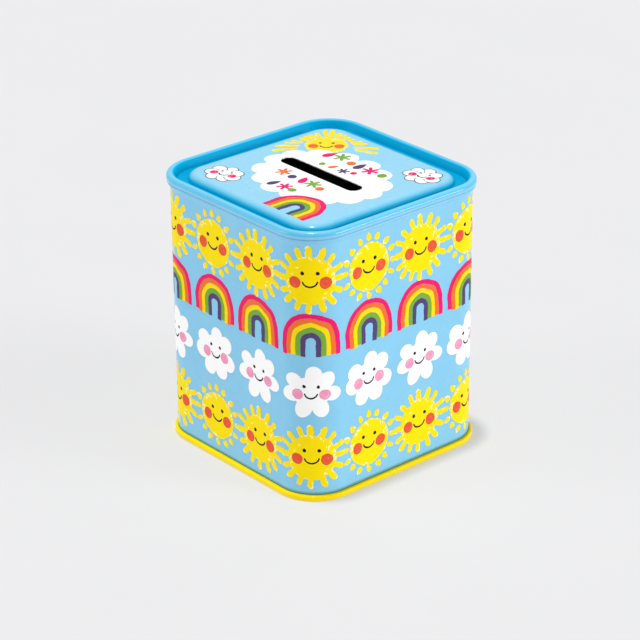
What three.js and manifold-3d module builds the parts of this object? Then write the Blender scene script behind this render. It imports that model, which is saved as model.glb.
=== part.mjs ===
// Square tin money box: a rolled tinplate body, a seamed-on base and a lift-off lid with a coin slot.
// Millimetres, +Z up. The origin is on the floor, under the middle of the tin.
// The near wall faces -Y, and the coin slot runs along X.

import * as THREE from "three";
import { mergeVertices } from "three/addons/utils/BufferGeometryUtils.js";
import Module from "manifold-3d";

const wasm = await Module();
wasm.setup();

// Driving dimensions
const WALL_WIDTH = 75;          // outside width of the body wall, both ways
const HEIGHT = 91;              // floor to the crest of the lid's rolled rim
const WALL_CORNER_RADIUS = 13;  // outside radius of the body's four upright corners
const SHEET = 0.3;              // thickness of the tinplate
const CLEARANCE = 0.3;          // least gap between two sheets
const CORNER_STEPS = 9;         // facets in each quarter-turn corner

// Body wall
const BEAD_REACH = 1.02;        // the wall swells out to a bead just under the lid's rim
const BEAD_ANGLE = 50;          // steepest lean of the swell, in degrees from upright
const BEAD_BEND = 0.35;
const NECK_OFFSET = 0.05;       // the wall's neck inside the rim stands this far out from the wall
const NECK_BEND = 0.25;
const EDGE_DROP = 0.9;          // raw top edge of the wall, below the rim's crest
const FLANGE_WIDTH = 0.6;       // out-turned bottom flange that the base is folded round
const FLANGE_BEND = 0.3;
const FLANGE_LEVEL = 1.0;       // middle of the flange, above the floor
const LOCK_SEAM_WIDTH = 4;      // folded upright joint in the wall, on the far side
const LOCK_SEAM_DEPTH = 0.6;
const LOCK_SEAM_END = 4;        // the fold stops this far from both ends of the wall

// Base
const SEAM_HALF = 38.7;         // outside of the folded base seam, from the middle
const SEAM_HEIGHT = 1.9;
const SEAM_BEND = 0.5;
const BASE_RECESS = 2.3;        // middle of the base sheet, above the floor
const BASE_STEP_HALF = 28;      // stamped step that stiffens the base
const BASE_STEP_RISE = 0.4;

// Lid
const RIM_HALF = 38.72;         // outside of the rolled rim
const RIM_BEND = 1.15;          // radius of the roll, at the middle of the sheet
const SKIRT_DEPTH = 2.25;       // rim's crest down to the end of its skirt
const HEM_BEND = 0.35;
const CHANNEL_DEPTH = 3.0;      // rim's crest down to the floor of the channel inside it
const CHANNEL_BEND = 0.5;
const PLUG_FOOT_HALF = 35.7;    // foot of the plug wall that drops inside the body
const PANEL_HALF = 29.2;        // flat part of the raised panel, from the middle
const PANEL_DROP = 0.6;         // panel, below the rim's crest
const SHOULDER_WIDTH = 3.0;     // rounded edge of the panel: a quarter of an ellipse
const SHOULDER_DROP = 1.9;
const PANEL_EXTRA_RADIUS = 1.2; // the panel's corners are rounder than the rim's
const SLOT_LENGTH = 36;
const SLOT_WIDTH = 5.3;

const CORNER_CENTRE = WALL_WIDTH / 2 - WALL_CORNER_RADIUS;

// Glossy printed lacquer over tinplate
const WALL_BLUE = new THREE.Color(0x8fd0f0);
const LID_BLUE = new THREE.Color(0x9fdaf8);
const BASE_YELLOW = new THREE.Color(0xf8dc20);
const LACQUER_ROUGHNESS = 0.3;
const LACQUER_METALNESS = 0.1;

// Points of an arc in a section, as [distance from the middle, height]. Angles are in degrees.
// The arc is elliptical if its upright radius differs from its level one.
function arc(centreHalf, centreZ, radius, from, to, steps, uprightRadius = radius) {
  const points = [];
  for (let i = 0; i <= steps; i += 1) {
    const angle = THREE.MathUtils.degToRad(from + ((to - from) * i) / steps);
    points.push([centreHalf + radius * Math.cos(angle), centreZ + uprightRadius * Math.sin(angle)]);
  }
  return points;
}

// Closed outline of a sheet of even thickness that follows a middle line.
// A third value on a point is extra corner radius, and both faces of the sheet keep it.
function sheetSection(line) {
  const left = [];
  const right = [];
  line.forEach(([half, z, extra = 0], i) => {
    const before = line[Math.max(i - 1, 0)];
    const after = line[Math.min(i + 1, line.length - 1)];
    const into = new THREE.Vector2(half - before[0], z - before[1]).normalize();
    const out = new THREE.Vector2(after[0] - half, after[1] - z).normalize();
    const along = into.clone().add(out).normalize();
    const normal = new THREE.Vector2(-along.y, along.x);
    const atEnd = i === 0 || i === line.length - 1;
    const mitre = atEnd ? 1 : 1 / along.dot(out);
    normal.multiplyScalar((SHEET / 2) * mitre);
    left.push([half + normal.x, z + normal.y, extra]);
    right.push([half - normal.x, z - normal.y, extra]);
  });
  return [...right, ...left.reverse()];
}

// Sweeps a section round the tin's rounded-square plan. It is a lathe whose four quarter-turns
// are spread out to the corner centres, so the walls between them come out flat.
function sweepRoundTin(section) {
  const onAxis = section[0][0] < 1e-6;
  const loop = onAxis ? section : [...section, section[0]];
  const perCorner = CORNER_STEPS + 1;
  const outline = loop.map(([half, z]) => new THREE.Vector2(Math.max(half, 0), z));
  const geometry = new THREE.LatheGeometry(outline, 4 * perCorner);
  const position = geometry.getAttribute("position");
  for (let i = 0; i < position.count; i += 1) {
    const meridian = Math.floor(i / loop.length) % (4 * perCorner);
    const [half, z, extra = 0] = loop[i % loop.length];
    const radius = Math.max(half - CORNER_CENTRE, 0) + (half > CORNER_CENTRE ? extra : 0);
    const centre = Math.max(half - radius, 0);
    const corner = Math.floor(meridian / perCorner);
    const angle = (Math.PI / 2) * (corner + (meridian % perCorner) / CORNER_STEPS);
    const sideX = corner === 0 || corner === 3 ? 1 : -1;
    const sideY = corner < 2 ? 1 : -1;
    position.setXYZ(
      i,
      sideX * centre + radius * Math.cos(angle),
      sideY * centre + radius * Math.sin(angle),
      z,
    );
  }
  return geometry;
}

// A manifold-3d solid from a three.js geometry.
function toSolid(geometry) {
  const bare = geometry.clone();
  bare.deleteAttribute("normal");
  bare.deleteAttribute("uv");
  const merged = mergeVertices(bare, 1e-5);
  const index = merged.index.array;
  const triangles = [];
  for (let i = 0; i < index.length; i += 3) {
    const [a, b, c] = [index[i], index[i + 1], index[i + 2]];
    if (a !== b && b !== c && c !== a) triangles.push(a, b, c);
  }
  return new wasm.Manifold(
    new wasm.Mesh({
      numProp: 3,
      vertProperties: new Float32Array(merged.getAttribute("position").array),
      triVerts: new Uint32Array(triangles),
    }),
  );
}

// A three.js geometry from a manifold-3d solid.
function toGeometry(solid) {
  const mesh = solid.getMesh();
  const geometry = new THREE.BufferGeometry();
  geometry.setAttribute("position", new THREE.BufferAttribute(mesh.vertProperties, 3));
  geometry.setIndex(new THREE.BufferAttribute(mesh.triVerts, 1));
  geometry.computeVertexNormals();
  return geometry;
}

function namedMesh(name, solid, color) {
  const material = new THREE.MeshStandardMaterial({
    color,
    roughness: LACQUER_ROUGHNESS,
    metalness: LACQUER_METALNESS,
  });
  const mesh = new THREE.Mesh(toGeometry(solid), material);
  mesh.name = name;
  return mesh;
}

// Upright wall, rolled from one printed sheet. Its foot turns out into the flange, its head swells
// to a bead and steps in to a neck under the rim, and its two ends are folded together inside.
function bodyShell() {
  const middle = (WALL_WIDTH - SHEET) / 2;
  const bendLevel = FLANGE_LEVEL + FLANGE_BEND;

  const lean = THREE.MathUtils.degToRad(BEAD_ANGLE);
  const swell = BEAD_REACH / (1 - Math.cos(lean)) - BEAD_BEND;
  const shoulder = HEIGHT - SKIRT_DEPTH - CLEARANCE - SHEET;
  const beadHalf = middle + BEAD_REACH - BEAD_BEND;
  const beadLevel = shoulder - BEAD_BEND;
  const swellLevel = beadLevel - (swell + BEAD_BEND) * Math.sin(lean);
  const neck = middle + NECK_OFFSET;

  const wall = [
    [middle + FLANGE_WIDTH, FLANGE_LEVEL],
    ...arc(middle + FLANGE_BEND, bendLevel, FLANGE_BEND, 270, 180, 3),
    ...arc(middle + swell, swellLevel, swell, 180, 180 - BEAD_ANGLE, 4),
    ...arc(beadHalf, beadLevel, BEAD_BEND, -BEAD_ANGLE, 90, 4).slice(1),
    ...arc(neck + NECK_BEND, shoulder + NECK_BEND, NECK_BEND, 270, 180, 2),
    [neck, HEIGHT - EDGE_DROP],
  ];
  const shell = toSolid(sweepRoundTin(sheetSection(wall.reverse())));

  const foldHeight = HEIGHT - 2 * LOCK_SEAM_END;
  const foldDepth = LOCK_SEAM_DEPTH + SHEET / 2;
  const fold = new THREE.BoxGeometry(LOCK_SEAM_WIDTH, foldDepth, foldHeight);
  fold.translate(0, middle - foldDepth / 2, HEIGHT / 2);
  return namedMesh("body_shell", shell.add(toSolid(fold)), WALL_BLUE);
}

// Stamped base. The panel sits up inside the wall, its edge drops to the floor and then folds up
// and over the wall's flange.
function basePanel() {
  const outer = SEAM_HALF - SHEET / 2;
  const chuckWall = WALL_WIDTH / 2 - SHEET - CLEARANCE - SHEET / 2;
  const low = SHEET / 2;
  const hookLevel = SEAM_HEIGHT - SHEET / 2;
  const hookBend = SEAM_BEND * 0.8;
  const hookTip = WALL_WIDTH / 2 + CLEARANCE;
  const middleLine = [
    [0, BASE_RECESS + BASE_STEP_RISE],
    [BASE_STEP_HALF - 1, BASE_RECESS + BASE_STEP_RISE],
    [BASE_STEP_HALF, BASE_RECESS],
    ...arc(chuckWall - SEAM_BEND, BASE_RECESS - SEAM_BEND, SEAM_BEND, 90, 0, 3),
    ...arc(chuckWall + SEAM_BEND, low + SEAM_BEND, SEAM_BEND, 180, 270, 3),
    ...arc(outer - SEAM_BEND, low + SEAM_BEND, SEAM_BEND, 270, 360, 3),
    ...arc(outer - hookBend, hookLevel - hookBend, hookBend, 0, 90, 3),
    [hookTip, hookLevel],
  ];
  const solid = toSolid(sweepRoundTin(sheetSection(middleLine)));
  return namedMesh("base_panel", solid, BASE_YELLOW);
}

// Round-ended coin slot, cut right through the lid's panel.
function slotCutter() {
  const radius = SLOT_WIDTH / 2;
  const reach = SLOT_LENGTH / 2 - radius;
  const outline = new THREE.Shape();
  outline.absarc(reach, 0, radius, -Math.PI / 2, Math.PI / 2, false);
  outline.absarc(-reach, 0, radius, Math.PI / 2, (3 * Math.PI) / 2, false);
  const depth = 10 * SHEET;
  const cutter = new THREE.ExtrudeGeometry(outline, {
    depth,
    bevelEnabled: false,
    curveSegments: CORNER_STEPS,
  });
  cutter.translate(0, 0, HEIGHT - PANEL_DROP - depth / 2);
  return toSolid(cutter);
}

// Stamped lid: raised panel, channel, plug wall and rolled rim, all from one sheet.
function lid() {
  const panelLevel = HEIGHT - PANEL_DROP - SHEET / 2;
  const channelLevel = HEIGHT - CHANNEL_DEPTH - SHEET / 2;
  const channelCentre = channelLevel + CHANNEL_BEND;
  const channelInner = PANEL_HALF + SHOULDER_WIDTH;
  const rimCentre = RIM_HALF - SHEET / 2 - RIM_BEND;
  const rimLevel = HEIGHT - SHEET / 2 - RIM_BEND;
  const skirt = RIM_HALF - SHEET / 2;
  const hemLevel = HEIGHT - SKIRT_DEPTH + HEM_BEND;
  const rounder = ([half, z]) => [half, z, PANEL_EXTRA_RADIUS];
  const shoulder = arc(PANEL_HALF, panelLevel - SHOULDER_DROP, SHOULDER_WIDTH, 90, 0, 6, SHOULDER_DROP);
  const middleLine = [
    [0, panelLevel],
    ...shoulder.map(rounder),
    ...arc(channelInner + CHANNEL_BEND, channelCentre, CHANNEL_BEND, 200, 270, 3).map(rounder),
    ...arc(PLUG_FOOT_HALF - CHANNEL_BEND, channelCentre, CHANNEL_BEND, 270, 340, 3),
    ...arc(rimCentre, rimLevel, RIM_BEND, 180, 0, 8),
    ...arc(skirt - HEM_BEND, hemLevel, HEM_BEND, 0, -70, 3),
  ];
  const stamping = toSolid(sweepRoundTin(sheetSection(middleLine)));
  return namedMesh("lid", stamping.subtract(slotCutter()), LID_BLUE);
}

const moneyBox = new THREE.Group();
moneyBox.add(bodyShell(), basePanel(), lid());

export default moneyBox;
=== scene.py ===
"""Looks of the square tin money box: fine sheet-metal shells, printed pictures, studio floor and camera.

Lengths are in millimetres until a mesh is made, in the CAD frame: +Z up, origin on the floor under the
middle of the tin, coin slot along X. The wall's pictures are drawn flat, as (along the wall, height),
and then wrapped round the tin.
"""

import math
import random

import bpy
import numpy as np
from mathutils import Matrix, Vector, noise
from mathutils.geometry import delaunay_2d_cdt


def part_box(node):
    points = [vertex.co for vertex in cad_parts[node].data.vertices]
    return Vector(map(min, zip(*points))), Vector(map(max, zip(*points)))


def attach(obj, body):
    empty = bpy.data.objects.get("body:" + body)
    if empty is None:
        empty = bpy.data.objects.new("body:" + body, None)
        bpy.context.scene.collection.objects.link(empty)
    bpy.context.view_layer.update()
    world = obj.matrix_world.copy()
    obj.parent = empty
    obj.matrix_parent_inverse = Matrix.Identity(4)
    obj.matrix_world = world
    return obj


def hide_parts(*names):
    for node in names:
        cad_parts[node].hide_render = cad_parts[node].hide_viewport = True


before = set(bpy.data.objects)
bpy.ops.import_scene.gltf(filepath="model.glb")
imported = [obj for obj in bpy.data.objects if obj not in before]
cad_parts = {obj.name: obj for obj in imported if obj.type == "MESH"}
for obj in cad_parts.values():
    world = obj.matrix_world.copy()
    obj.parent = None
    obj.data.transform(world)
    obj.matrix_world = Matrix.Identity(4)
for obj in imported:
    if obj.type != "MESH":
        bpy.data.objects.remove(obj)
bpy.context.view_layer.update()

MM = 0.001

# Sizes read from the frame
lid_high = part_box("lid")[1] / MM
base_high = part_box("base_panel")[1] / MM

# Tin: the same driving dimensions as the CAD part
SHEET = 0.3
HEIGHT = round(lid_high.z, 1)
RIM_HALF = lid_high.x
SEAM_HALF = base_high.x
WALL_HALF = SEAM_HALF - 1.2
CORNER_RADIUS = 13.0
CORE = WALL_HALF - CORNER_RADIUS  # middle of each corner's arc, from the middle of the tin
BEAD_REACH = 1.02  # the wall swells out to a bead just under the lid's rim
BEAD_ANGLE = 50
BEAD_BEND = 0.35
NECK_OFFSET = 0.05
NECK_BEND = 0.25
RIM_GAP = 0.03  # between the bead and the rim's skirt
EDGE_DROP = 0.9
FLANGE_LEVEL = 1.0
FLANGE_BEND = 0.3
WALL_LOW_RING = 3.0  # the wall's rings are even from here to the swell
WALL_RINGS = 12
LOCK_SEAM_X = 0.0  # where the ends of the printed sheet meet, on the far wall
LOCK_SEAM_WIDTH = 4.0
LOCK_SEAM_DEPTH = 0.6
LOCK_SEAM_END = 4.0  # it stops this far from the wall's two ends
LOCK_SEAM_RINGS = 12
LOCK_SEAM_BEND = 0.25
LOCK_SEAM_SUNK = 0.05  # how deep its back lies in the wall's sheet
LOCK_SEAM_PRESSED = 0.3  # its two ends are pressed in by this much
LOCK_SEAM_STEP = ((1.1, 0.0), (0.9, 0.22), (0.2, 0.22), (0.0, 0.4))  # in from its side, back from its face
GROOVE_WIDTH = 0.22  # the fine line outside, where the ends meet
GROOVE_DEPTH = 0.16
GROOVE_SPACING = 0.1
GROOVE_REACH = 7  # stations on either side of its middle
SEAM_HEIGHT = 1.9
SEAM_BEND = 0.5
BASE_RECESS = 2.3
BASE_STEP_HALF = 28.0
BASE_STEP_RISE = 0.4
BASE_STEP_BEND = 0.4
BASE_STEP_IN = 1.0  # centres of the step's two bends, from BASE_STEP_HALF
BASE_STEP_OUT = 0.2
BASE_EDGE_IN = 2.0  # the flat middle ends this far inside the step
HOOK_SHARE = 0.8  # bend of the folded band's top, as a share of SEAM_BEND
HOOK_GAP = 0.2  # between its end and the wall
RIM_BEND = 1.15
SKIRT_DEPTH = 2.25
HEM_BEND = 0.35
CHANNEL_DEPTH = 3.0
CHANNEL_BEND = 0.5
PLUG_FOOT_HALF = 35.7
PANEL_HALF = 29.2
PANEL_DROP = 0.6
PANEL_EXTRA_RADIUS = 1.2
PANEL_EDGE_IN = 0.6  # the flat middle ends this far inside the rounded edge
SHOULDER_WIDTH = 3.0  # rounded edge of the panel: a quarter of an ellipse
SHOULDER_DROP = 1.9
SLOT_LENGTH = 36.0
SLOT_WIDTH = 5.3
SLOT_LIP = 0.12

# Swell of the wall under the rim, at the middle of the sheet
LEAN = math.radians(BEAD_ANGLE)
SWELL_BEND = BEAD_REACH / (1 - math.cos(LEAN)) - BEAD_BEND
BEAD_SHOULDER = HEIGHT - SKIRT_DEPTH - RIM_GAP - SHEET
BEAD_LEVEL = BEAD_SHOULDER - BEAD_BEND
SWELL_LEVEL = BEAD_LEVEL - (SWELL_BEND + BEAD_BEND) * math.sin(LEAN)

# Print
INK_PROUD = 0.03  # top of the ink film above the tin
INK_DEEP = 0.03  # its underside, sunk in the tin
INK_STEP = 0.012  # a film that reaches over its neighbour lies this much higher
MOTIFS = 13  # pictures in a row round the wall
ARC_LENGTH = CORNER_RADIUS * math.pi / 2
QUARTER = 2 * CORE + ARC_LENGTH
PERIMETER = 4 * QUARTER
PITCH = PERIMETER / MOTIFS
OUTLINE_STEP = 0.3
INK_GRID = 1.3
PEN = 0.6  # width of the faces' lines
SUN_RADIUS = 7.9
BAR_RAY = (3.5, 1.8)  # length and width of a ray that grows from the disc
DAB_RAY = (2.6, 2.3)  # and of a loose one
DAB_GAP = 0.6
RAYS = 16
SUN_FLECKS = 26
CLOUD_REACH = (9.7, 9.0)
CLOUD_LOBES = 7
RAINBOW_HALF = 9.6
RAINBOW_HEIGHT = 14.4
RAINBOW_GAP = 0.16  # half width of the gap under it, as a share of its own
RAINBOW_INKS = ("pink", "orange", "yellow", "green", "violet")

# Middles of the rows on the wall
HIGH_SUNS = 75.0
RAINBOWS = 57.0
CLOUDS = 37.4
LOW_SUNS = 15.0

# Lid's pictures, as (x, y) on its panel
BIG_CLOUD_AT = (1.8, -1.2)
BIG_CLOUD_REACH = (24.7, 20.9)
BIG_CLOUD_CORE = (0.84, 0.8)  # its middle, as shares of its reach
BIG_CLOUD_LOBES = 14
LID_SUN_AT = (-17.3, 17.3)
LID_SUN_RADIUS = 7.0
LID_RAYS = 18
LID_RAY_WIDTH = 1.75
LID_RAY_AZIMUTH = 135  # middle of the fan of rays, and half its angle
LID_RAY_FAN = 110
LID_RAY_GAP = 0.9  # from the disc to the middle rays, and how much more at the ends of the fan
LID_RAY_GAP_MORE = 2.6
LID_RAY_REACH = 18.5  # rays end at this distance, or at the panel's edge
LID_RAY_EDGE = 28.2
LID_CLOUD_REACH = (6.8, 5.9)
LID_CLOUD_FACE = 5.6
LID_CLOUD_TILT = 15
LID_CLOUD_NEAR = (-20.5, -22.5)
LID_CLOUD_FAR = (22.5, 22.5)
LID_RAINBOW_AT = (15.4, -21.4)
CONFETTI_INKS = ("pink", "green", "orange", "violet")
CONFETTI_ROWS = (  # level, first and last mark, how many, and their size
    (13.7, -10.5, 14.0, 6, 5.0),
    (7.0, -6.5, 7.0, 4, 3.5),
    (-8.0, -9.5, 9.5, 5, 4.7),
    (-14.9, -4.0, 4.5, 3, 4.5),
)

# The plain face, as shares of the half width of what it is drawn on
EYE_REACH = 0.3
EYE_RISE = 0.3
EYE_SIZE = 0.08
MOUTH_WIDTH = 0.56
MOUTH_DEPTH = 0.24
MOUTH_DROP = 0.14
CHEEK_REACH = 0.6
CHEEK_DROP = 0.1
CHEEK_SIZE = 0.25


# ------------------------------------------------------------------ colour and materials

def srgb(red, green, blue):
    """Linear colour from an 8-bit one."""
    def linear(value):
        value /= 255
        return value / 12.92 if value <= 0.04045 else ((value + 0.055) / 1.055) ** 2.4
    return (linear(red), linear(green), linear(blue), 1.0)


class Shader:
    """A Principled material, built node by node over the object's own coordinates."""

    def __init__(self, name, **sockets):
        self.material = bpy.data.materials.new(name)
        self.material.use_nodes = True
        self.tree = self.material.node_tree
        self.principled = self.tree.nodes["Principled BSDF"]
        for socket, value in sockets.items():
            self.principled.inputs[socket.replace("_", " ")].default_value = value
        self.place = self.tree.nodes.new("ShaderNodeTexCoord").outputs["Object"]

    def node(self, kind, inputs=(), **settings):
        made = self.tree.nodes.new(kind)
        for key, value in settings.items():
            setattr(made, key, value)
        for key, value in dict(inputs).items():
            if isinstance(value, bpy.types.NodeSocket):
                self.tree.links.new(value, made.inputs[key])
            else:
                made.inputs[key].default_value = value
        return made

    def noise(self, size_mm, detail=2.0, stretch=None, roughness=0.5):
        """Noise with features of about size_mm. stretch is three factors along a turned frame's axes."""
        place = self.place
        if stretch:
            turned = self.node(
                "ShaderNodeMapping",
                {"Vector": place, "Rotation": (0.6, -0.5, 0.75), "Scale": stretch},
            )
            place = turned.outputs["Vector"]
        made = self.node(
            "ShaderNodeTexNoise",
            {"Vector": place, "Scale": 1 / (size_mm * MM), "Detail": detail, "Roughness": roughness},
        )
        return made.outputs["Fac"]

    def ramp(self, value, low, high, to_low=0.0, to_high=1.0):
        made = self.node(
            "ShaderNodeMapRange",
            {"Value": value, "From Min": low, "From Max": high, "To Min": to_low, "To Max": to_high},
        )
        return made.outputs["Result"]

    def mix(self, factor, first, second):
        made = self.node("ShaderNodeMix", data_type="RGBA")
        for key, value in ((0, factor), (6, first), (7, second)):
            if isinstance(value, bpy.types.NodeSocket):
                self.tree.links.new(value, made.inputs[key])
            else:
                made.inputs[key].default_value = value
        return made.outputs[2]

    def bump(self, height, depth_mm, before=None):
        inputs = {"Height": height, "Distance": depth_mm * MM, "Strength": 1.0}
        if before is not None:
            inputs["Normal"] = before
        return self.node("ShaderNodeBump", inputs).outputs["Normal"]

    def finish(self, colour, roughness, normal):
        self.tree.links.new(colour, self.principled.inputs["Base Color"])
        self.tree.links.new(roughness, self.principled.inputs["Roughness"])
        self.tree.links.new(normal, self.principled.inputs["Normal"])
        return self.material

    def sheet_waves(self):
        """The slow unevenness of thin tin, and the fine orange peel of its lacquer."""
        slow = self.bump(self.noise(26, detail=1.0), 0.05)
        return self.bump(self.noise(0.9, detail=1.0), 0.0012, slow)


def lacquer(name, colour, mottled, gloss=0.3, deep_ink_and_shade=None, fade=None, roughness=0.3):
    """Glossy printed lacquer: a dense tint with faint print mottle and a fine rosette grain.
    Between the two levels of fade the tint turns to a second, darker colour: painted shade on rounded
    edges, in creases and in hollows, where the hollows also have a deeper ink."""
    shader = Shader(name, Coat_Weight=gloss, Coat_Roughness=0.12, Specular_IOR_Level=gloss / 2)
    mottle = shader.ramp(shader.noise(7, detail=3.0), 0.3, 0.7)
    grain = shader.ramp(shader.noise(0.35, detail=0.0), 0.35, 0.65, 0.0, 0.3)
    tint = shader.mix(mottle, colour, mottled)
    tint = shader.mix(grain, tint, colour)
    if deep_ink_and_shade:
        # painted shade: the tint darkens by height alone, between the two fade levels
        up = shader.node("ShaderNodeSeparateXYZ", {0: shader.place}).outputs["Z"]
        tint = shader.mix(shader.ramp(up, fade[0] * MM, fade[1] * MM), tint, deep_ink_and_shade)
    rough = shader.ramp(shader.noise(5, detail=3.0), 0.3, 0.7, roughness * 0.85, roughness * 1.15)
    return shader.finish(tint, rough, shader.sheet_waves())


def crayon(name, colour, pale, wax=0.5, roughness=0.4):
    """Waxy crayon, printed: streaks along one slant where the pigment is thinner, and small bare flecks."""
    shader = Shader(name, Coat_Weight=0.04, Coat_Roughness=0.15, Specular_IOR_Level=0.05)
    streak = shader.noise(0.55, detail=3.0, stretch=(0.22, 1.0, 1.0))
    patch = shader.noise(3.2, detail=2.0)
    streaks = shader.ramp(streak, 0.5, 0.72, 0.0, wax)
    patches = shader.ramp(patch, 0.42, 0.75, 0.1, 1.0)
    factor = shader.node("ShaderNodeMath", {0: streaks, 1: patches}, operation="MULTIPLY")
    tint = shader.mix(factor.outputs["Value"], colour, pale)
    rough = shader.ramp(streak, 0.3, 0.75, roughness * 0.85, roughness * 1.2)
    return shader.finish(tint, rough, shader.sheet_waves())


def bare_tin(name):
    """Unprinted tinplate: bright metal with fine rolling lines and a few cloudy patches."""
    shader = Shader(name, Metallic=1.0, Specular_IOR_Level=0.5)
    lines = shader.noise(0.4, detail=4.0, stretch=(1.0, 0.03, 0.03))
    cloud = shader.noise(9, detail=3.0)
    tint = shader.mix(shader.ramp(cloud, 0.3, 0.7), srgb(205, 205, 203), srgb(178, 180, 182))
    tint = shader.mix(shader.ramp(lines, 0.3, 0.7, 0.0, 0.5), tint, srgb(226, 226, 224))
    rough = shader.ramp(lines, 0.3, 0.7, 0.22, 0.4)
    return shader.finish(tint, rough, shader.bump(lines, 0.002))


PANEL_LEVEL = HEIGHT - PANEL_DROP
INKS = {
    # wall_blue turns dark olive in the last 1.2 mm above the base band: painted shade in the crease and a
    # painted reflection of the yellow band
    "wall_blue": lacquer("wall_blue", srgb(138, 204, 237), srgb(132, 200, 234), 0.3,
                         srgb(70, 134, 128), (SEAM_HEIGHT + 1.2, SEAM_HEIGHT)),
    # lid_blue darkens to deep blue down the panel's rounded edge: painted shade
    "lid_blue": lacquer("lid_blue", srgb(151, 217, 246), srgb(147, 214, 244), 0.4,
                        srgb(0, 186, 226), (PANEL_LEVEL - 0.01, PANEL_LEVEL - 1.1)),
    # rim_blue darkens just below the crest as the roll turns down: painted shade
    "rim_blue": lacquer("rim_blue", srgb(124, 208, 243), srgb(118, 205, 241), 0.4,
                        srgb(92, 187, 226), (HEIGHT - 0.02, HEIGHT - 0.45)),
    # plug_blue turns deep just under the crest, and channel_blue is deep throughout: a deeper ink, darkened
    # further as painted shade in the hollow between panel and rim
    "plug_blue": lacquer("plug_blue", srgb(112, 206, 244), srgb(106, 202, 241), 0.02,
                         srgb(0, 168, 212), (HEIGHT - 0.05, HEIGHT - 0.4), 0.5),
    "channel_blue": lacquer("channel_blue", srgb(8, 176, 220), srgb(4, 172, 217), 0.04, None, None, 0.5),
    "base_yellow": lacquer("base_yellow", srgb(255, 228, 0), srgb(254, 222, 0), 0.1),
    "bare_tin": bare_tin("bare_tin"),
    "white": crayon("ink_white", srgb(255, 255, 255), srgb(250, 250, 252), 0.4),
    "sun": crayon("ink_sun", srgb(255, 227, 0), srgb(255, 240, 60), 0.5),
    "sun_edge": crayon("ink_sun_edge", srgb(255, 250, 205), srgb(255, 238, 120), 0.7),
    "sun_pale": crayon("ink_sun_pale", srgb(255, 226, 40), srgb(255, 238, 100), 0.5),
    "cheek": crayon("ink_cheek", srgb(232, 86, 62), srgb(240, 126, 68), 0.9),
    "cheek_light": crayon("ink_cheek_light", srgb(240, 112, 58), srgb(246, 156, 58), 0.6),
    "line": crayon("ink_line", srgb(44, 32, 42), srgb(74, 62, 70), 0.4),
    "blush": crayon("ink_blush", srgb(240, 153, 186), srgb(250, 194, 218), 0.8),
    "blush_light": crayon("ink_blush_light", srgb(248, 184, 212), srgb(253, 220, 234), 0.6),
    "pink": crayon("ink_pink", srgb(238, 26, 110), srgb(246, 74, 146), 0.5),
    "orange": crayon("ink_orange", srgb(244, 115, 52), srgb(248, 146, 80), 0.5),
    "yellow": crayon("ink_yellow", srgb(255, 222, 0), srgb(255, 236, 60), 0.4),
    "green": crayon("ink_green", srgb(121, 172, 60), srgb(158, 198, 84), 0.6),
    "violet": crayon("ink_violet", srgb(86, 68, 116), srgb(118, 104, 148), 0.5),
    "grey": crayon("ink_grey", srgb(96, 100, 112), srgb(140, 144, 154), 0.4),
}


# ------------------------------------------------------------------ meshes

class Builder:
    """Collects welded vertices, their shading normals, and faces with an ink each."""

    def __init__(self):
        self.points = []
        self.normals = []
        self.faces = []
        self.face_inks = []
        self.known = {}

    def vertex(self, point, normal):
        key = tuple(round(value, 4) for value in point)
        if key not in self.known:
            self.known[key] = len(self.points)
            self.points.append(point)
            self.normals.append(normal)
        return self.known[key]

    def face(self, corners, ink):
        corners = [c for i, c in enumerate(corners) if c != corners[i - 1]]
        if len(corners) > 2:
            self.faces.append(corners)
            self.face_inks.append(ink)

    def piece(self, name, body):
        """Makes the object, in metres, and lets it ride on a body."""
        mesh = bpy.data.meshes.new(name)
        mesh.from_pydata([Vector(p) * MM for p in self.points], [], self.faces)
        inks = sorted(set(self.face_inks))
        for ink in inks:
            mesh.materials.append(INKS[ink])
        mesh.polygons.foreach_set("material_index", [inks.index(ink) for ink in self.face_inks])
        mesh.polygons.foreach_set("use_smooth", [True] * len(mesh.polygons))
        mesh.normals_split_custom_set_from_vertices([Vector(n).normalized() for n in self.normals])
        made = bpy.data.objects.new(name, mesh)
        bpy.context.scene.collection.objects.link(made)
        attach(made, body)
        return made


def arc(centre, level, radius, start, end, steps, extra=0.0, upright=None):
    """Points (distance from the middle, height, extra corner radius) along an arc, in degrees.
    It is elliptical if its upright radius differs."""
    upright = upright or radius
    angles = np.radians(np.linspace(start, end, steps + 1))
    return [(centre + radius * math.cos(a), level + upright * math.sin(a), extra) for a in angles]


def sheet_section(line, round_start, round_end):
    """Section of a sheet that follows line: (distance, height, extra, normal out, normal up, side) points,
    first along its right-hand face, then back along its left-hand face, with half-round edges."""
    faces = {"right": [], "left": []}
    for i, (half, z, extra) in enumerate(line):
        before, after = line[max(i - 1, 0)], line[min(i + 1, len(line) - 1)]
        into = Vector((half - before[0], z - before[1])).normalized()
        out = Vector((after[0] - half, after[1] - z)).normalized()
        along = (into + out).normalized()
        mitre = 1 / along.dot(out) if into.length and out.length else 1
        normal = Vector((-along.y, along.x))
        for side, sign in (("left", 1), ("right", -1)):
            offset = normal * (sign * SHEET / 2)
            point = (half + offset.x * mitre, z + offset.y * mitre, extra)
            faces[side].append((*point, sign * normal.x, sign * normal.y, side))

    def edge(point, forward):
        made = []
        for turn in (-45, 0, 45):
            direction = Matrix.Rotation(math.radians(turn), 2) @ forward
            half = point[0] + direction.x * SHEET / 2
            z = point[1] + direction.y * SHEET / 2
            made.append((half, z, point[2], direction.x, direction.y, "edge"))
        return made

    section = list(faces["right"])
    if round_end:
        forward = Vector((line[-1][0] - line[-2][0], line[-1][1] - line[-2][1])).normalized()
        section += edge(line[-1], forward)
    section += reversed(faces["left"])
    if round_start:
        backward = Vector((line[0][0] - line[1][0], line[0][1] - line[1][1])).normalized()
        section += edge(line[0], backward)
    return section


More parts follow.
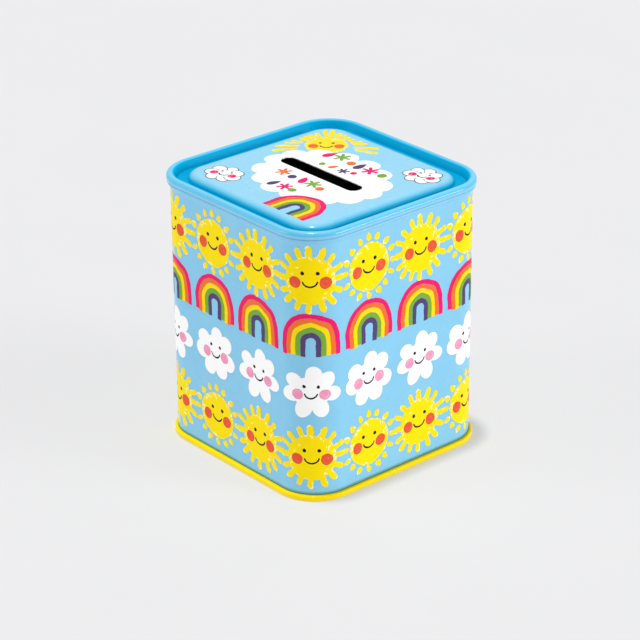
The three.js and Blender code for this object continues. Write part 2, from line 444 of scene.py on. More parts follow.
def square_plan(corner_steps=14, flat_steps=6, extra_flats=()):
    """Stations round the rounded square: (core multiplier, direction out, shading direction, dip).
    extra_flats are (x, dip, slope) stations on the far wall, in order of falling x."""
    plan = []
    for corner in range(4):
        start = math.radians(-90 + 90 * corner)
        middle = start + math.radians(45)
        core = Vector((math.cos(middle), math.sin(middle))) * math.sqrt(2)
        for i in range(corner_steps + 1):
            angle = start + math.radians(90 * i / corner_steps)
            out = Vector((math.cos(angle), math.sin(angle)))
            plan.append((core, out, out, 0.0))
        following = Matrix.Rotation(math.radians(90), 2) @ core
        flats = [(core.lerp(following, i / flat_steps), out, 0.0) for i in range(1, flat_steps)]
        if corner == 1 and extra_flats:
            groove = [
                (Vector((x / CORE, 1.0)), Vector((-slope, 1.0)).normalized(), dip)
                for x, dip, slope in extra_flats
            ]
            low, high = groove[-1][0].x, groove[0][0].x
            flats = [flat for flat in flats if not low < flat[0].x < high] + groove
            flats.sort(key=lambda flat: -flat[0].x)
        plan += [(multiplier, out, shade, dip) for multiplier, shade, dip in flats]
    return plan


def slot_plan(steps=12):
    """Stations round the coin slot."""
    plan = []
    for side, start in ((1, -90), (-1, 90)):
        for i in range(steps + 1):
            angle = math.radians(start + 180 * i / steps)
            out = Vector((math.cos(angle), math.sin(angle)))
            plan.append((Vector((side, 0.0)), out, out, 0.0))
    return plan


def station(plan_entry, core, half, extra=0.0):
    """Plan position of a point that is half away from the middle, on a station's line."""
    multiplier, out, _, dip = plan_entry
    return multiplier * (core - extra) + out * (half - core + extra - dip)


def sweep(builder, plan, core, section, ink_of, closed):
    """Carries a section round a plan. ink_of(point, next point) names the ink of each strip."""
    rings = []
    for entry in plan:
        shade = entry[2]
        ring = []
        for half, z, extra, out_normal, up_normal, _ in section:
            place = station(entry, core, half, extra)
            ring.append(builder.vertex((*place, z), (*(shade * out_normal), up_normal)))
        rings.append(ring)
    count = len(section) if closed else len(section) - 1
    for i, ring in enumerate(rings):
        following = rings[(i + 1) % len(rings)]
        for j in range(count):
            k = (j + 1) % len(section)
            builder.face([ring[j], following[j], following[k], ring[k]], ink_of(section[j], section[k]))


def grid_inside(low, high, spacing):
    """Points of a staggered grid over a box."""
    points = []
    row = 0
    y = low[1] + spacing / 2
    while y < high[1]:
        x = low[0] + spacing / 2 * (1 + row % 2)
        while x < high[0]:
            points.append((x, y))
            x += spacing
        y += spacing * math.sqrt(3) / 2
        row += 1
    return points


def inside(outline, x, y):
    """Which of the points (x, y) are inside a closed outline."""
    points = np.asarray(outline)
    hit = np.zeros(len(x), bool)
    box = (x > points[:, 0].min()) & (x < points[:, 0].max())
    box &= (y > points[:, 1].min()) & (y < points[:, 1].max())
    if not box.any():
        return hit
    px, py = x[box][:, None], y[box][:, None]
    ax, ay = points[:, 0], points[:, 1]
    bx, by = np.roll(ax, -1), np.roll(ay, -1)
    crosses = (ay > py) != (by > py)
    rise = np.where(by == ay, 1.0, by - ay)
    hit[box] = (crosses & (px < (bx - ax) * (py - ay) / rise + ax)).sum(axis=1) % 2 == 1
    return hit


def triangulate(layers, spacing):
    """Splits painted outlines into triangles. layers are (outline, ink), the last on top, and ink None
    cuts away what is under it. Returns points, triangles and the ink of each triangle."""
    outlines = [np.asarray(outline, float) for outline, _ in layers]
    everything = np.vstack(outlines)
    points = [tuple(p) for p in everything]
    edges = []
    first = 0
    for outline in outlines:
        count = len(outline)
        edges += [(first + i, first + (i + 1) % count) for i in range(count)]
        first += count
    points += grid_inside(everything.min(axis=0), everything.max(axis=0), spacing)
    result = delaunay_2d_cdt([Vector(p) for p in points], edges, [], 0, 1e-5, False)
    made = np.array([tuple(p) for p in result[0]])
    triangles = np.array([list(t) for t in result[2]])
    middle = made[triangles].mean(axis=1)
    chosen = np.full(len(triangles), -1)
    for i, outline in enumerate(outlines):
        hit = inside(outline, middle[:, 0], middle[:, 1])
        chosen[hit] = i if layers[i][1] is not None else -1
    kept = chosen >= 0
    inks = [layers[i][1] for i in chosen[kept]]
    return made, triangles[kept], inks


def fill_flat(builder, outline, holes, level, up, ink):
    """Flat area between an outline and its holes, facing up or down."""
    layers = [(outline, ink)] + [(hole, None) for hole in holes]
    points, triangles, inks = triangulate(layers, 6.0)
    normal = (0, 0, 1) if up else (0, 0, -1)
    for triangle, face_ink in zip(triangles, inks):
        corners = [builder.vertex((points[i][0], points[i][1], level), normal) for i in triangle]
        builder.face(corners if up else corners[::-1], face_ink)


# ------------------------------------------------------------------ tin

def wall_lean(z):
    """How far the wall's printed face stands out at a height, under the rim, and its slope there."""
    outer = SWELL_BEND - SHEET / 2
    turn = SWELL_LEVEL + outer * math.sin(LEAN)
    up = np.clip(z - SWELL_LEVEL, 0, outer * math.sin(LEAN))
    rise = outer - np.sqrt(outer**2 - up**2)
    slope = up / np.sqrt(outer**2 - up**2)
    bead = BEAD_BEND + SHEET / 2
    below = np.clip(BEAD_LEVEL - z, 0, bead * math.sin(LEAN))
    on_bead = z > turn
    reach = np.where(on_bead, BEAD_REACH - bead + np.sqrt(bead**2 - below**2), rise)
    slope = np.where(on_bead, below / np.sqrt(bead**2 - below**2), slope)
    return reach, slope


def groove_stations():
    """The fine upright line where the ends of the wall's sheet meet, as (x, dip, slope) on the far wall."""
    made = []
    for step in range(GROOVE_REACH, -GROOVE_REACH - 1, -1):
        x = step * GROOVE_SPACING
        dip = GROOVE_DEPTH * math.exp(-((x / GROOVE_WIDTH) ** 2))
        made.append((LOCK_SEAM_X + x, dip, 2 * dip * x / GROOVE_WIDTH**2))
    return made


def wall():
    """Rolled wall: printed outside, bare inside, out-turned at the foot, a bead and a neck at the head."""
    middle = WALL_HALF - SHEET / 2
    neck = middle + NECK_OFFSET
    line = [(middle + 2 * FLANGE_BEND, FLANGE_LEVEL, 0.0)]
    line += arc(middle + FLANGE_BEND, FLANGE_LEVEL + FLANGE_BEND, FLANGE_BEND, 270, 180, 5)
    line += [(middle, float(z), 0.0) for z in np.linspace(WALL_LOW_RING, SWELL_LEVEL, WALL_RINGS)[:-1]]
    line += arc(middle + SWELL_BEND, SWELL_LEVEL, SWELL_BEND, 180, 180 - BEAD_ANGLE, 12)
    line += arc(middle + BEAD_REACH - BEAD_BEND, BEAD_LEVEL, BEAD_BEND, -BEAD_ANGLE, 90, 12)[1:]
    line += arc(neck + NECK_BEND, BEAD_SHOULDER + NECK_BEND, NECK_BEND, 270, 180, 5)
    line += [(neck, HEIGHT - EDGE_DROP, 0.0)]
    section = sheet_section(line, True, True)

    def ink_of(point, following):
        return "wall_blue" if "right" in (point[5], following[5]) else "bare_tin"

    builder = Builder()
    sweep(builder, square_plan(extra_flats=groove_stations()), CORE, section, ink_of, True)
    made = builder.piece("wall_sheet", "tin")
    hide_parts("body_shell")
    return made


def lock_seam():
    """The wall's two hooked ends, pressed into a flat four-layer fold inside."""
    inner = WALL_HALF - SHEET
    low, high = LOCK_SEAM_END, HEIGHT - LOCK_SEAM_END
    half = LOCK_SEAM_WIDTH / 2
    bend = LOCK_SEAM_BEND
    outline = [(half, LOCK_SEAM_SUNK), (half, -LOCK_SEAM_DEPTH + bend)]
    outline += [(half - bend * (1 - math.cos(a)), -LOCK_SEAM_DEPTH + bend * (1 - math.sin(a)))
                for a in np.radians([30, 60, 90])]
    outline += [(-half + along, -LOCK_SEAM_DEPTH + back) for along, back in LOCK_SEAM_STEP]
    outline.append((-half, LOCK_SEAM_SUNK))
    builder = Builder()
    rings = []
    for z in np.linspace(low, high, LOCK_SEAM_RINGS):
        inset = LOCK_SEAM_PRESSED if z in (low, high) else 0.0
        ring = []
        for x, depth in outline:
            y = inner + min(depth + inset / 2, LOCK_SEAM_SUNK)
            away = (x / half * 0.3, -1.0, 0.0) if depth < -bend else (x / half, -0.2, 0.0)
            place = (LOCK_SEAM_X + x * (1 - inset / half), y, float(z))
            ring.append(builder.vertex(place, tuple(Vector(away).normalized())))
        rings.append(ring)
    count = len(outline)
    for ring, following in zip(rings, rings[1:]):
        for j in range(count):
            k = (j + 1) % count
            builder.face([ring[j], following[j], following[k], ring[k]], "bare_tin")
    builder.face(rings[0], "bare_tin")
    builder.face(rings[-1][::-1], "bare_tin")
    return builder.piece("lock_seam_fold", "tin")


def base():
    """Stamped base: stepped panel, wall down to the floor, and the band folded over the wall's flange."""
    outer = SEAM_HALF - SHEET / 2
    chuck = WALL_HALF - 2 * SHEET - SHEET / 2
    low = SHEET / 2
    hook_level = SEAM_HEIGHT - SHEET / 2
    hook_bend = SEAM_BEND * HOOK_SHARE
    inner_edge = BASE_STEP_HALF - BASE_EDGE_IN
    level = BASE_RECESS + BASE_STEP_RISE
    bend = BASE_STEP_BEND
    line = [(inner_edge, level, 0.0)]
    line += arc(BASE_STEP_HALF - BASE_STEP_IN, level - bend, bend, 90, 60, 3)
    line += arc(BASE_STEP_HALF + BASE_STEP_OUT, BASE_RECESS + bend, bend, 240, 270, 3)
    line += arc(chuck - SEAM_BEND, BASE_RECESS - SEAM_BEND, SEAM_BEND, 90, 0, 8)
    line += arc(chuck + SEAM_BEND, low + SEAM_BEND, SEAM_BEND, 180, 270, 8)
    line += arc(outer - SEAM_BEND, low + SEAM_BEND, SEAM_BEND, 270, 360, 8)
    line += arc(outer - hook_bend, hook_level - hook_bend, hook_bend, 0, 90, 8)
    line += [(WALL_HALF + HOOK_GAP, hook_level, 0.0)]
    section = sheet_section(line, False, True)
    plan = square_plan()

    def ink_of(point, following):
        return "bare_tin" if "left" in (point[5], following[5]) and point[0] < chuck else "base_yellow"

    builder = Builder()
    sweep(builder, plan, CORE, section, ink_of, False)
    edge = [tuple(station(entry, CORE, inner_edge)) for entry in plan]
    fill_flat(builder, edge, [], level + SHEET / 2, True, "bare_tin")
    fill_flat(builder, edge, [], level - SHEET / 2, False, "base_yellow")
    made = builder.piece("base_stamping", "tin")
    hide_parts("base_panel")
    return made


def lid():
    """Stamped lid: raised panel with the coin slot, channel, plug wall, rolled rim and curled hem."""
    panel = HEIGHT - PANEL_DROP - SHEET / 2
    channel = HEIGHT - CHANNEL_DEPTH - SHEET / 2 + CHANNEL_BEND
    channel_inner = PANEL_HALF + SHOULDER_WIDTH
    rim = RIM_HALF - SHEET / 2 - RIM_BEND
    skirt = RIM_HALF - SHEET / 2
    hem = HEIGHT - SKIRT_DEPTH + HEM_BEND
    extra = PANEL_EXTRA_RADIUS
    inner_edge = PANEL_HALF - PANEL_EDGE_IN
    line = [(inner_edge, panel, extra)]
    line += arc(PANEL_HALF, panel - SHOULDER_DROP, SHOULDER_WIDTH, 90, 0, 16, extra, SHOULDER_DROP)
    line += arc(channel_inner + CHANNEL_BEND, channel, CHANNEL_BEND, 195, 270, 7, extra)
    line += arc(PLUG_FOOT_HALF - CHANNEL_BEND, channel, CHANNEL_BEND, 270, 340, 7)
    line += arc(rim, HEIGHT - SHEET / 2 - RIM_BEND, RIM_BEND, 165, 0, 22)
    line += arc(skirt - HEM_BEND, hem, HEM_BEND, 0, -130, 8)
    section = sheet_section(line, False, True)
    plan = square_plan()

    def ink_of(point, following):
        if "left" not in (point[5], following[5]):
            return "bare_tin" if point[0] < rim else "rim_blue"
        reach = max(point[0], following[0])
        if reach < channel_inner + SHEET:
            return "lid_blue"
        if reach < PLUG_FOOT_HALF - 0.2:
            return "channel_blue"
        if reach < rim:
            return "plug_blue"
        return "rim_blue" if point[1] > HEIGHT - RIM_BEND - SHEET else "wall_blue"

    builder = Builder()
    sweep(builder, plan, CORE, section, ink_of, False)

    top, underside = panel + SHEET / 2, panel - SHEET / 2
    reach = (SLOT_LENGTH - SLOT_WIDTH) / 2
    radius = SLOT_WIDTH / 2
    slot = slot_plan()
    turns = np.radians([90, 60, 30, 0])
    lip = [(reach + radius + SLOT_LIP * (1 - math.cos(a)), top - SLOT_LIP * (1 - math.sin(a)), 0.0,
            -math.cos(a), math.sin(a), "left") for a in turns]
    lip.append((reach + radius, underside, 0.0, -1.0, 0.0, "right"))
    sweep(builder, slot, reach, lip, lambda point, following: "bare_tin", False)

    edge = [tuple(station(entry, CORE, inner_edge, extra)) for entry in plan]
    top_hole = [tuple(station(entry, reach, lip[0][0])) for entry in slot]
    low_hole = [tuple(station(entry, reach, lip[-1][0])) for entry in slot]
    fill_flat(builder, edge, [top_hole], top, True, "lid_blue")
    fill_flat(builder, edge, [low_hole], underside, False, "bare_tin")
    made = builder.piece("lid_stamping", "lid")
    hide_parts("lid")
    return made


# ------------------------------------------------------------------ drawing

def ellipse(x, y, rx, ry, tilt=0.0, step=OUTLINE_STEP):
    """Closed ellipse, turned by tilt degrees."""
    count = max(10, round(math.pi * (rx + ry) / step))
    turn = math.radians(tilt)
    made = []
    for i in range(count):
        a = 2 * math.pi * i / count
        u, v = rx * math.cos(a), ry * math.sin(a)
        made.append((x + u * math.cos(turn) - v * math.sin(turn),
                     y + u * math.sin(turn) + v * math.cos(turn)))
    return made


def moved(points, x, y, tilt=0.0):
    """Points turned about the origin by tilt degrees, then shifted."""
    turn = math.radians(tilt)
    c, s = math.cos(turn), math.sin(turn)
    return [(x + u * c - v * s, y + u * s + v * c) for u, v in points]


def resampled(points, step):
    """Points at even steps along an open path."""
    points = np.asarray(points, float)
    lengths = np.concatenate([[0], np.cumsum(np.linalg.norm(np.diff(points, axis=0), axis=1))])
    count = max(3, round(lengths[-1] / step) + 1)
    along = np.linspace(0, lengths[-1], count)
    return np.stack([np.interp(along, lengths, points[:, i]) for i in range(2)], axis=1)


def stroke(path, width, start=1.0, end=1.0):
    """Outline of a round-ended pen stroke along an open path. start and end scale its width at the ends."""
    path = resampled(path, OUTLINE_STEP)
    tangent = np.gradient(path, axis=0)
    tangent /= np.linalg.norm(tangent, axis=1)[:, None]
    side = np.stack([-tangent[:, 1], tangent[:, 0]], axis=1)
    t = np.linspace(0, 1, len(path))
    half = width / 2 * np.interp(t, [0, 0.5, 1], [start, 1.0, end])
    turns = [np.array([math.sin(a), math.cos(a)]) for a in np.radians([45, 0, -45])]
    tip = [path[-1] + (side[-1] * u + tangent[-1] * v) * half[-1] for u, v in turns]
    tail = [path[0] - (side[0] * u + tangent[0] * v) * half[0] for u, v in turns]
    left = path + side * half[:, None]
    right = path - side * half[:, None]
    return [tuple(p) for p in [*left, *tip, *right[::-1], *tail]]


def rough(points, seed, slow=0.3, fine=0.09):
    """The same outline, drawn by hand: a slow wander and a waxy edge."""
    made = []
    for x, y in points:
        wander = noise.noise_vector(Vector((x / 4.0, y / 4.0, seed * 7.3))) * slow
        edge = noise.noise_vector(Vector((x / 0.55, y / 0.55, seed * 3.1 + 50))) * fine
        made.append((x + wander.x + edge.x, y + wander.y + edge.y))
    return made


def grown(points, distance):
    """Closed outline moved outwards."""
    p = np.asarray(points, float)
    tangent = np.roll(p, -1, axis=0) - np.roll(p, 1, axis=0)
    tangent /= np.maximum(np.linalg.norm(tangent, axis=1), 1e-9)[:, None]
    area = np.sum(p[:, 0] * np.roll(p[:, 1], -1) - np.roll(p[:, 0], -1) * p[:, 1])
    outward = np.stack([tangent[:, 1], -tangent[:, 0]], axis=1) * np.sign(area)
    return [tuple(q) for q in p + outward * distance]


def drop(length, width, sharp):
    """A crayon dab along +Y. sharp 0 is round, 1 a triangle with a round foot."""
    made = []
    for i in range(16):
        a = 2 * math.pi * i / 16
        height = 0.5 + 0.5 * math.sin(a)
        made.append((width / 2 * math.cos(a) * (1 - sharp * height**1.5), length / 2 * math.sin(a)))
    return made


def smile(width, depth):
    """Open path of a shallow bowl."""
    turns = np.radians(np.linspace(190, 350, 11))
    return [(width / 2 * math.cos(a), depth / 2 + depth * math.sin(a)) for a in turns]


def face(art, seed, size, cheek, cheek_light, tilt=0.0):
    """Adds a plain smiling face: two dots, a curve and two round cheeks, in proportion to size."""
    rng = random.Random(seed)
    marks = []
    for side in (-1, 1):
        x, y, radius = side * size * CHEEK_REACH, -size * CHEEK_DROP, size * CHEEK_SIZE
        marks.append((ellipse(x, y, radius, radius), cheek))
        for ring in (0.3, 0.65):
            begin = rng.uniform(0, 360)
            swirl = [(x + radius * ring * math.cos(a), y + radius * ring * math.sin(a))
                     for a in np.radians(np.linspace(begin, begin + 150, 9))]
            marks.append((stroke(swirl, PEN / 2, 0.4, 0.4), cheek_light))
        eye = size * EYE_SIZE
        dot = ellipse(side * size * EYE_REACH, size * EYE_RISE, eye, eye, step=OUTLINE_STEP / 2)
        marks.append((dot, "line"))
    mouth = moved(smile(size * MOUTH_WIDTH, size * MOUTH_DEPTH), 0, -size * MOUTH_DROP)
    marks.append((stroke(mouth, PEN, 0.85, 0.85), "line"))
    art += [(rough(moved(mark, 0, 0, tilt), seed, 0.25, 0.1), ink) for mark, ink in marks]


def crayoned(shapes, seed, ink, radius):
    """A sun's shapes filled in crayon: here and there a pale edge shows, and flecks near its rim."""
    rng = random.Random(seed)
    art = [(rough(grown(shape, -0.05), seed + 31, 0.45, 0.26), "sun_edge") for shape in shapes]
    art += [(rough(shape, seed, 0.45, 0.24), ink) for shape in shapes]
    for _ in range(SUN_FLECKS):
        angle = rng.uniform(0, 360)
        reach = radius * (1 - abs(rng.gauss(0, 0.12)))
        half = rng.uniform(0.2, 0.7)
        fleck = moved(moved([(-half, 0), (0, 0), (half, 0)], 0, 0, rng.uniform(30, 70)), reach, 0)
        art.append((stroke(moved(fleck, 0, 0, angle), rng.uniform(0.25, 0.45), 0.5, 0.5), "sun_edge"))
    return art


def sun(seed, joined):
    """A crayon sun with a plain face. Its even rays are bars that grow from the disc, or loose dabs."""
    rng = random.Random(seed)
    shapes = [ellipse(0, 0, SUN_RADIUS, SUN_RADIUS)]
    for i in range(RAYS):
        length, width = (value * rng.uniform(0.88, 1.12) for value in (BAR_RAY if joined else DAB_RAY))
        if joined:
            reaches = (-BAR_RAY[1], length / 2, length - width / 2)
            shape = stroke([(0, SUN_RADIUS + reach) for reach in reaches], width, 0.9, 1.0)
        else:
            shape = moved(drop(length, width, 0.6), 0, SUN_RADIUS + DAB_GAP + length / 2)
        shapes.append(moved(shape, 0, 0, 360 * (i + rng.uniform(-0.1, 0.1)) / RAYS))
    art = crayoned(shapes, seed, "sun", SUN_RADIUS)
    face(art, seed, SUN_RADIUS, "cheek", "cheek_light")
    return art


def cloud(seed, reach, lobes, tilt=0.0, outline=0.0, lobe_share=0.31, core_share=0.62):
    """A puffy white cloud without its face. reach is its half width and height. With an outline each lobe
    is ringed in grey before the middle is filled."""
    rng = random.Random(seed)
    art = []
    size = min(reach) * lobe_share
    for i in range(lobes):
        angle = math.radians(360 * (i + rng.uniform(-0.13, 0.13)) / lobes + tilt + 90)
        long, short = size * rng.uniform(1.05, 1.25), size * rng.uniform(0.9, 1.08)
        x, y = (reach[0] - long) * math.cos(angle), (reach[1] - long) * math.sin(angle)
        lobe = ellipse(x, y, long, short, math.degrees(angle))
        if outline:
            art.append((rough(grown(lobe, outline), seed, 0.2, 0.08), "grey"))
        art.append((rough(lobe, seed, 0.25, 0.05), "white"))
    core = ellipse(0, 0, reach[0] * core_share, reach[1] * core_share)
    art.append((rough(core, seed, 0.25, 0.05), "white"))
    return art


def wall_cloud(seed):
    """A cloud with a plain face."""
    made = cloud(seed, CLOUD_REACH, CLOUD_LOBES)
    face(made, seed, CLOUD_REACH[1] * 0.8, "blush", "blush_light")
    return made


def arch(half_width, height, foot):
    """Path of an arch from its left foot to its right foot."""
    path = [(-half_width, foot)]
    for a in np.radians(np.linspace(180, 0, 31)):
        path.append((half_width * math.cos(a), height - half_width + half_width * math.sin(a)))
    path.append((half_width, foot))
    return resampled(path, OUTLINE_STEP)


def rainbow(seed, half_width, height):
    """A crayon rainbow of five even bands round a gap."""
    rng = random.Random(seed)
    band = half_width * (1 - RAINBOW_GAP) / len(RAINBOW_INKS)
    art = []
    for i, ink in enumerate(RAINBOW_INKS):
        foot = rng.uniform(-0.3, 0.3)
        outer, inner = i * band, (i + 0.96) * band
        shape = [*arch(half_width - outer, height - outer, foot),
                 *arch(half_width - inner, height - inner, foot)[::-1]]
        art.append((rough([(x, y - height / 2) for x, y in shape], seed, 0.4, 0.12), ink))
    return art


# ------------------------------------------------------------------ laying the print on the tin

def round_wall(points, lift):
    """Places (along the wall, height) points on the wall. Zero along is the middle of the near corner."""
    along, z = points[:, 0], points[:, 1]
    turned = (along + ARC_LENGTH / 2) % PERIMETER
    corner = np.floor(turned / QUARTER)
    within = turned - corner * QUARTER
    angle = (corner - 1) * math.pi / 2 + np.minimum(within, ARC_LENGTH) / CORNER_RADIUS
    run = np.maximum(within - ARC_LENGTH, 0)
    middle = corner * math.pi / 2 - math.pi / 4
    out = np.stack([np.cos(angle), np.sin(angle)], axis=1)
    ahead = np.stack([-out[:, 1], out[:, 0]], axis=1)
    core = CORE * math.sqrt(2) * np.stack([np.cos(middle), np.sin(middle)], axis=1)
    reach, slope = wall_lean(z)
    distance = CORNER_RADIUS + reach + lift
    place = core + out * distance[:, None] + ahead * run[:, None]
    return np.column_stack([place, z]), np.column_stack([out, -slope])


def on_panel(points, lift):
    """Places (x, y) points on the lid's panel, and on the rounded edge beyond it."""
    centre = CORE - PANEL_EXTRA_RADIUS
    past = np.maximum(np.abs(points) - centre, 0)
    distance = np.maximum(np.linalg.norm(past, axis=1), 1e-9)
    share = np.clip((distance - (PANEL_HALF - centre)) / SHOULDER_WIDTH, 0, 0.9)
    fall = SHOULDER_DROP * (1 - np.sqrt(1 - share**2))
    slope = SHOULDER_DROP / SHOULDER_WIDTH * share / np.sqrt(1 - share**2)
    out = np.sign(points) * past / distance[:, None] * slope[:, None]
    level = HEIGHT - PANEL_DROP - fall + lift
    return np.column_stack([points, level]), np.column_stack([out, np.ones(len(points))])


def lay_ink(builder, art, lay, offset=(0.0, 0.0), step=0.0):
    """Adds a drawing to a builder as a thin closed film of ink, step times INK_STEP above the others."""
    points, triangles, inks = art
    points = points + np.asarray(offset)
    top, normal = lay(points, INK_PROUD + step * INK_STEP)
    under, _ = lay(points, -INK_DEEP)
    first = len(builder.points)
    count = len(points)
    builder.points += [tuple(p) for p in top] + [tuple(p) for p in under]
    builder.normals += [tuple(n) for n in normal] + [tuple(-n) for n in normal]
    border = {}
    for triangle, ink in zip(triangles.tolist(), inks):
        a, b, c = triangle
        builder.face([first + a, first + b, first + c], ink)
        builder.face([first + count + c, first + count + b, first + count + a], ink)
        for edge in ((a, b), (b, c), (c, a)):
            if edge[::-1] in border:
                del border[edge[::-1]]
            else:
                border[edge] = ink
    for (a, b), ink in border.items():
        builder.face([first + b, first + a, first + count + a, first + count + b], ink)


def compact(art, spacing):
    """A triangulated drawing without the points that no triangle uses."""
    points, triangles, inks = triangulate(art, spacing)
    used = np.unique(triangles)
    renumber = np.zeros(len(points), int)
    renumber[used] = np.arange(len(used))
    return points[used], renumber[triangles], inks


def print_row(name, row, level, drawings):
    """One row of evenly spaced pictures round the wall, in turn. Neighbours and rows that touch lie at
    different heights."""
    builder = Builder()
    for i in range(MOTIFS):
        place = i if i <= MOTIFS // 2 else i - MOTIFS
        step = 2 if i == MOTIFS - 1 else i % 2
        lay_ink(builder, drawings[i % len(drawings)], round_wall, (place * PITCH, level), step + row / 3)
    return builder.piece(name, "tin")


def wall_print():
    """The four rows of pictures."""
    suns = [sun(11, True), sun(12, False)]
    rainbows = [rainbow(seed, RAINBOW_HALF, RAINBOW_HEIGHT) for seed in (21, 22)]
    clouds = [wall_cloud(seed) for seed in (31, 32)]
    suns, rainbows, clouds = (
        [compact(art, INK_GRID) for art in drawings] for drawings in (suns, rainbows, clouds)
    )
    print_row("print_suns_high", 0, HIGH_SUNS, suns)
    print_row("print_suns_low", 0, LOW_SUNS, suns)
    print_row("print_rainbows", 1, RAINBOWS, rainbows)
    print_row("print_clouds", 2, CLOUDS, clouds)


def big_cloud(seed):
    """The large cloud round the coin slot."""
    rng = random.Random(seed)
    (x, y), (reach_x, reach_y) = BIG_CLOUD_AT, BIG_CLOUD_REACH
    shapes = [ellipse(x, y, reach_x * BIG_CLOUD_CORE[0], reach_y * BIG_CLOUD_CORE[1])]
    for i in range(BIG_CLOUD_LOBES):
        angle = math.radians(360 * (i + rng.uniform(-0.12, 0.12)) / BIG_CLOUD_LOBES + 5)
        size = rng.uniform(4.4, 5.2)
        lobe_x = x + (reach_x - size) * math.cos(angle)
        lobe_y = y + (reach_y - size) * math.sin(angle)
        shapes.append(ellipse(lobe_x, lobe_y, size, size * 0.97))
    return [(rough(shape, seed, 0.3, 0.04), "white") for shape in shapes]


def confetti(seed):
    """Plain marks scattered over the cloud, above and below the slot."""
    rng = random.Random(seed)
    art = []
    for row, (y, first, last, count, size) in enumerate(CONFETTI_ROWS):
        for i in range(count):
            x = first + (last - first) * i / (count - 1) + rng.uniform(-0.6, 0.6)
            at = (x, y + rng.uniform(-1.1, 1.1))
            ink = CONFETTI_INKS[(i + row) % len(CONFETTI_INKS)]
            kind = (i * 2 + row) % 3
            turn = rng.uniform(-30, 30)
            if kind == 0:
                art.append((moved(drop(size * 1.1, size * 0.7, 0.6), *at, turn), ink))
            elif kind == 1:
                art.append((ellipse(*at, size * 0.32, size * 0.32), ink))
            else:
                for spoke in range(3):
                    line = [(-size * 0.5, 0), (0, 0), (size * 0.5, 0)]
                    art.append((stroke(moved(line, *at, turn + 60 * spoke), size * 0.23), ink))
    return [(rough(shape, seed, 0.2, 0.1), ink) for shape, ink in art]


def rising_sun(seed):
    """The sun in the lid's far corner, half behind the cloud."""
    rng = random.Random(seed)
    (x, y), radius = LID_SUN_AT, LID_SUN_RADIUS
    shapes = [ellipse(x, y, radius, radius)]
    for i in range(LID_RAYS):
        place = (i + rng.uniform(-0.15, 0.15)) / (LID_RAYS - 1) * 2 - 1
        a = math.radians(LID_RAY_AZIMUTH - LID_RAY_FAN * place)
        wall_x = (LID_RAY_EDGE + x) / max(-math.cos(a), 1e-3)
        wall_y = (LID_RAY_EDGE - y) / max(math.sin(a), 1e-3)
        far = min(wall_x, wall_y, LID_RAY_REACH) * rng.uniform(0.96, 1.0)
        near = radius + LID_RAY_GAP + LID_RAY_GAP_MORE * abs(place) ** 3
        line = [(x + d * math.cos(a), y + d * math.sin(a)) for d in (near, (near + far) / 2, far - 0.8)]
        shapes.append(stroke(line, LID_RAY_WIDTH * rng.uniform(0.85, 1.15), 0.8, 1.0))
    art = crayoned([moved(shape, -x, -y) for shape in shapes], seed, "sun_pale", radius)
    face(art, seed, radius, "cheek_light", "cheek", 45)
    return [(moved(shape, x, y), ink) for shape, ink in art]


def lid_cloud(seed):
    """A small outlined cloud with pink cheeks."""
    made = cloud(seed, LID_CLOUD_REACH, CLOUD_LOBES, LID_CLOUD_TILT, 0.3, 0.38, 0.45)
    face(made, seed, LID_CLOUD_FACE, "pink", "blush", LID_CLOUD_TILT)
    return made


def panel_print():
    """The pictures on the lid's raised panel, one film each."""
    reach = (SLOT_LENGTH - SLOT_WIDTH) / 2
    clear = SLOT_WIDTH / 2 + SLOT_LIP
    hole = [tuple(station(entry, reach, reach + clear)) for entry in slot_plan()]
    cloud_art = big_cloud(41)
    shadow = [(shape, None) for shape, _ in cloud_art]
    lid_bow = rainbow(45, RAINBOW_HALF, RAINBOW_HEIGHT)
    pictures = {
        "print_lid_cloud": (cloud_art + confetti(42) + [(hole, None)], (0.0, 0.0)),
        "print_lid_sun": (rising_sun(46) + shadow, (0.0, 0.0)),
        "print_lid_rainbow": (lid_bow, LID_RAINBOW_AT),
        "print_lid_cloud_near": (lid_cloud(43), LID_CLOUD_NEAR),
        "print_lid_cloud_far": (lid_cloud(44), LID_CLOUD_FAR),
    }
    for step, (name, (art, offset)) in enumerate(pictures.items()):
        builder = Builder()
        lay_ink(builder, compact(art, 3.0), on_panel, offset, step / 2)
        builder.piece(name, "lid")


wall()
lock_seam()
base()
lid()
wall_print()
panel_print()


# ------------------------------------------------------------------ floor, light and camera

FLOOR_REACH = 4.0  # in metres
FLOOR_TINT = srgb(188, 188, 190)
FLOOR_TINT_LOW = srgb(189, 189, 191)
FLOOR_GLOW = 0.275
SURROUND_GLOW = 0.5
LAMPS = {  # azimuth, elevation, strength and angular size
    "side_right": (120, 6, 2.1, 30),
    "side_left": (-30, 6, 1.22, 30),
    "overhead": (-41, 87.3, 1.6, 3.5),
}
CAMERA_AZIMUTH = 49.35
CAMERA_ELEVATION = 25.2
CAMERA_ROLL = -0.49
CAMERA_DISTANCE = 814.4
CAMERA_AIM = (-0.66, -5.23)  # right and up of the tin's middle
CAMERA_LENS = 142.6
CAMERA_SENSOR = 36.0
CAMERA_CLIP = (0.01, 20.0)  # in metres


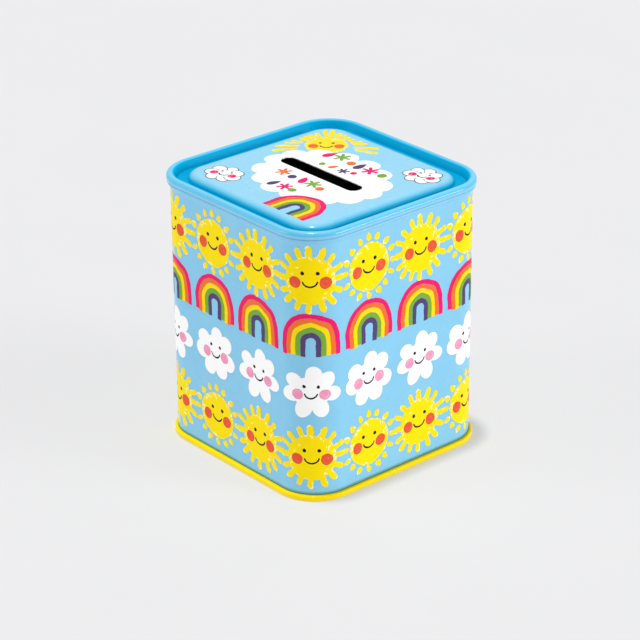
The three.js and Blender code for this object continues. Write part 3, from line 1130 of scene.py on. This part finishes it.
def floor():
    """A pale seamless floor, lit a little from below like a light table."""
    shader = Shader("studio_floor", Specular_IOR_Level=0.1, Emission_Strength=FLOOR_GLOW)
    shader.principled.inputs["Emission Color"].default_value = srgb(255, 255, 255)
    tint = shader.mix(shader.ramp(shader.noise(60, detail=3.0), 0.3, 0.7), FLOOR_TINT, FLOOR_TINT_LOW)
    rough_floor = shader.ramp(shader.noise(3, detail=2.0), 0.3, 0.7, 0.85, 0.95)
    material = shader.finish(tint, rough_floor, shader.bump(shader.noise(1.0), 0.0005))
    mesh = bpy.data.meshes.new("studio_floor")
    reach = FLOOR_REACH
    corners = [(-reach, -reach, 0), (reach, -reach, 0), (reach, reach, 0), (-reach, reach, 0)]
    mesh.from_pydata(corners, [], [(0, 1, 2, 3)])
    mesh.materials.append(material)
    made = bpy.data.objects.new("studio_floor", mesh)
    bpy.context.scene.collection.objects.link(made)


def toward(azimuth, elevation):
    """Direction from the tin. Azimuth 0 is -Y, 90 is +X."""
    a, e = math.radians(azimuth), math.radians(elevation)
    return Vector((math.sin(a) * math.cos(e), -math.cos(a) * math.cos(e), math.sin(e)))


def lamp(name, azimuth, elevation, energy, size):
    """A far, soft light that faces the tin. size is its angle."""
    data = bpy.data.lights.new(name, "SUN")
    data.energy = energy
    data.angle = math.radians(size)
    made = bpy.data.objects.new(name, data)
    made.rotation_mode = "QUATERNION"
    made.rotation_quaternion = toward(azimuth, elevation).to_track_quat("Z", "Y")
    bpy.context.scene.collection.objects.link(made)


def studio():
    """White surroundings, a low soft light at either side of the tin and a narrower one overhead."""
    world = bpy.data.worlds.new("studio")
    world.use_nodes = True
    background = world.node_tree.nodes["Background"]
    background.inputs["Color"].default_value = (1.0, 1.0, 1.0, 1.0)
    background.inputs["Strength"].default_value = SURROUND_GLOW
    bpy.context.scene.world = world
    for name, settings in LAMPS.items():
        lamp(name, *settings)
    bpy.context.scene.view_settings.view_transform = "Standard"


def camera():
    """The photograph's view: a long lens, a little above the tin, towards its near corner."""
    azimuth, roll = math.radians(CAMERA_AZIMUTH), math.radians(CAMERA_ROLL)
    back = toward(CAMERA_AZIMUTH, CAMERA_ELEVATION)
    right = Vector((math.cos(azimuth), math.sin(azimuth), 0.0))
    up = back.cross(right)
    turned_right = right * math.cos(roll) + up * math.sin(roll)
    turned_up = up * math.cos(roll) - right * math.sin(roll)
    aim = Vector((0, 0, HEIGHT / 2)) + turned_right * CAMERA_AIM[0] + turned_up * CAMERA_AIM[1]
    place = aim + back * CAMERA_DISTANCE
    data = bpy.data.cameras.new("camera")
    data.lens = CAMERA_LENS
    data.sensor_width = CAMERA_SENSOR
    data.clip_start, data.clip_end = CAMERA_CLIP
    made = bpy.data.objects.new("camera", data)
    axes = Matrix((turned_right, turned_up, back)).transposed()
    made.matrix_world = Matrix.Translation(place * MM) @ axes.to_4x4()
    bpy.context.scene.collection.objects.link(made)
    bpy.context.scene.camera = made


floor()
studio()
camera()
